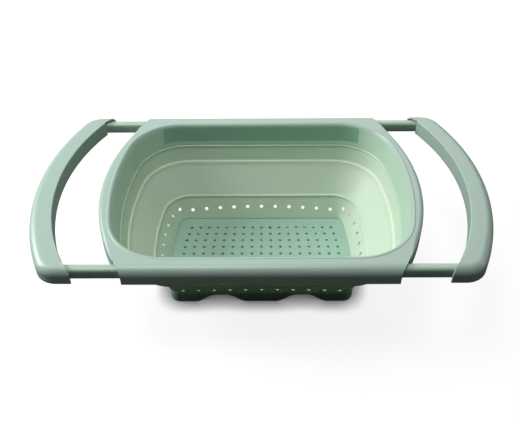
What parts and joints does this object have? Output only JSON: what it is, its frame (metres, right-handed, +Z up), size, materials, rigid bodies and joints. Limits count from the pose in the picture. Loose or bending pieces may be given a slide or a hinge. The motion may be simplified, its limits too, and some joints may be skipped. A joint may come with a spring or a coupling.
{
  "type": "collapsible colander",
  "caption": "Collapsible over-the-sink colander: soft folding basket with a pierced floor, hard rectangular rim and two slide-out curved handles.",
  "frame": {"origin": "on the ground under the middle of the basket, at the bottom of the feet", "axes": "+X along the handles' travel, +Y across the two straight rails, +Z up"},
  "size_m": [0.5196, 0.2828, 0.129],
  "materials": {
    "mint_pp": "satin",
    "teal_pp": "satin",
    "soft_tpr": "matte",
    "screw_steel": "plain"
  },
  "bodies": {
    "base_body": {"base": "teal_pp", "lower_wall_band": "soft_tpr"},
    "fold_body": {"fold_wall_band": "soft_tpr"},
    "rim_body": {"rim_frame": "mint_pp", "front_rail_cover": "teal_pp", "rear_rail_cover": "teal_pp", "front_cover_screws": "screw_steel", "rear_cover_screws": "screw_steel", "basket_collar": "teal_pp", "upper_wall_band": "soft_tpr"},
    "left_handle": {"left_bow": "mint_pp", "left_front_rod": "mint_pp", "left_rear_rod": "mint_pp", "left_front_stop": "teal_pp", "left_rear_stop": "teal_pp", "left_bow_screws": "screw_steel"},
    "right_handle": {"right_bow": "mint_pp", "right_front_rod": "mint_pp", "right_rear_rod": "mint_pp", "right_front_stop": "teal_pp", "right_rear_stop": "teal_pp", "right_bow_screws": "screw_steel"}
  },
  "joints": [
    {"name": "rim_collapse", "type": "slide", "parent": "base_body", "child": "rim_body", "axis": [0, 0, -1], "range_m": [0, 0.068]},
    {"name": "fold_travel", "type": "slide", "parent": "base_body", "child": "fold_body", "axis": [0, 0, -1], "range_m": [0, 0.034]},
    {"name": "left_handle_slide", "type": "slide", "parent": "rim_body", "child": "left_handle", "axis": [-1, 0, 0], "range_m": [-0.0503, 0.0444]},
    {"name": "right_handle_slide", "type": "slide", "parent": "rim_body", "child": "right_handle", "axis": [1, 0, 0], "range_m": [-0.0503, 0.0444]}
  ],
  "couplings": [
    {"joint": "fold_travel", "follows": "rim_collapse", "ratio": 0.5}
  ]
}
